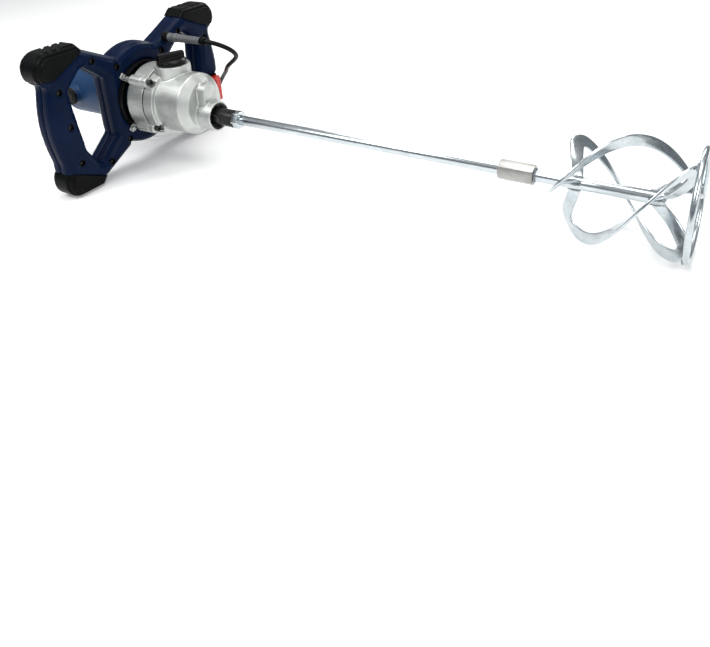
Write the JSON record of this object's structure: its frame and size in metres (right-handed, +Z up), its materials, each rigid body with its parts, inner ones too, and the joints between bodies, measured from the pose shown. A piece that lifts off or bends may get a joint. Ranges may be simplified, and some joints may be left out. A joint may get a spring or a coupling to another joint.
{
  "type": "handheld mortar mixer with mixing paddle",
  "caption": "Two-handed electric mortar mixer with a long straight rod and a ring paddle of twisted flat blades",
  "frame": {"origin": "centre of the bounding box of the machine without its cord, on the floor", "axes": "+X from the motor towards the paddle ring, +Y towards the handle with the switch, +Z up"},
  "size_m": [0.9391, 0.3678, 0.2142],
  "materials": {
    "navy_plastic": "moulded, fine grain",
    "black_rubber": "soft, dull",
    "black_plastic": "moulded",
    "cord_rubber": "dull",
    "cast_aluminium": "die cast, satin",
    "bright_zinc": "bright zinc plated",
    "black_steel": "black oxide",
    "steel": "machined",
    "copper_winding": "copper and laminations",
    "brass": "machined",
    "carbon": "pressed carbon",
    "red_plastic": "gloss"
  },
  "bodies": {
    "machine": {"frame_front": "navy_plastic", "frame_rear": "navy_plastic", "frame_screws": "black_steel", "corner_cap_switch_top": "black_rubber", "corner_cap_switch_bottom": "black_rubber", "corner_cap_plain_top": "black_rubber", "corner_cap_plain_bottom": "black_rubber", "motor_housing": "navy_plastic", "motor_end_cover": "navy_plastic", "stator": "steel", "ring_liner": "black_plastic", "motor_bearing_front": "steel", "motor_bearing_rear": "steel", "brush_caps": "black_plastic", "brush_holders": "brass", "carbon_brushes": "carbon", "gearbox_plate": "cast_aluminium", "gearbox_housing": "cast_aluminium", "gearbox_screws": "black_steel", "plate_screws": "steel", "layshaft_bushes": "brass", "spindle_bearing": "steel", "spindle_bush": "brass", "nose_circlip": "black_steel", "nose_seal": "steel", "switch_body": "black_plastic", "trigger_pin": "steel", "cord_boot": "black_rubber", "cord_run": "cord_rubber", "cord_coil": "cord_rubber", "plug_body": "cord_rubber", "plug_pins": "brass"},
    "spindle_set": {"spindle": "black_steel", "spindle_gear": "steel", "jam_nut": "bright_zinc", "extension_rod": "bright_zinc", "paddle_coupling": "bright_zinc", "paddle_shaft": "bright_zinc", "blade_1": "bright_zinc", "blade_2": "bright_zinc", "blade_3": "bright_zinc", "paddle_ring": "bright_zinc"},
    "layshaft_set": {"layshaft": "steel", "layshaft_gear": "steel"},
    "armature_set": {"armature": "copper_winding", "commutator": "copper_winding", "cooling_fan": "black_plastic", "motor_pinion": "steel"},
    "selector": {"selector_shaft": "steel", "selector_knob": "black_plastic"},
    "trigger_lever": {"trigger": "red_plastic"},
    "lock_pin": {"lock_button": "red_plastic"}
  },
  "joints": [
    {"name": "spindle_spin", "type": "hinge", "parent": "machine", "child": "spindle_set", "pos_m": [-0.16997, 0, 0.08674], "axis": [0.9993, 0, -0.0375], "continuous": true},
    {"name": "layshaft_spin", "type": "hinge", "parent": "machine", "child": "layshaft_set", "pos_m": [-0.24863, 0, 0.12372], "axis": [0.9993, 0, -0.0375], "continuous": true},
    {"name": "armature_spin", "type": "hinge", "parent": "machine", "child": "armature_set", "pos_m": [-0.34931, 0, 0.10749], "axis": [0.9993, 0, -0.0375], "continuous": true},
    {"name": "gear_selector_turn", "type": "hinge", "parent": "machine", "child": "selector", "pos_m": [-0.24566, 0, 0.14963], "axis": [0.0375, 0, 0.9993], "range_deg": [0, 180]},
    {"name": "trigger_pull", "type": "hinge", "parent": "machine", "child": "trigger_lever", "pos_m": [-0.3184, 0.148, 0.05129], "axis": [0, -1, 0], "range_deg": [0, 7], "stiffness_Nm_per_rad": 0.8, "springref_deg": -8.59},
    {"name": "lock_press", "type": "slide", "parent": "machine", "child": "lock_pin", "axis": [-0.9993, 0, 0.0375], "range_m": [0, 0.004], "stiffness_N_per_m": 300, "springref_m": -0.002}
  ],
  "couplings": [
    {"joint": "layshaft_spin", "follows": "spindle_spin", "ratio": -3.8571},
    {"joint": "armature_spin", "follows": "spindle_spin", "ratio": 17.571}
  ]
}
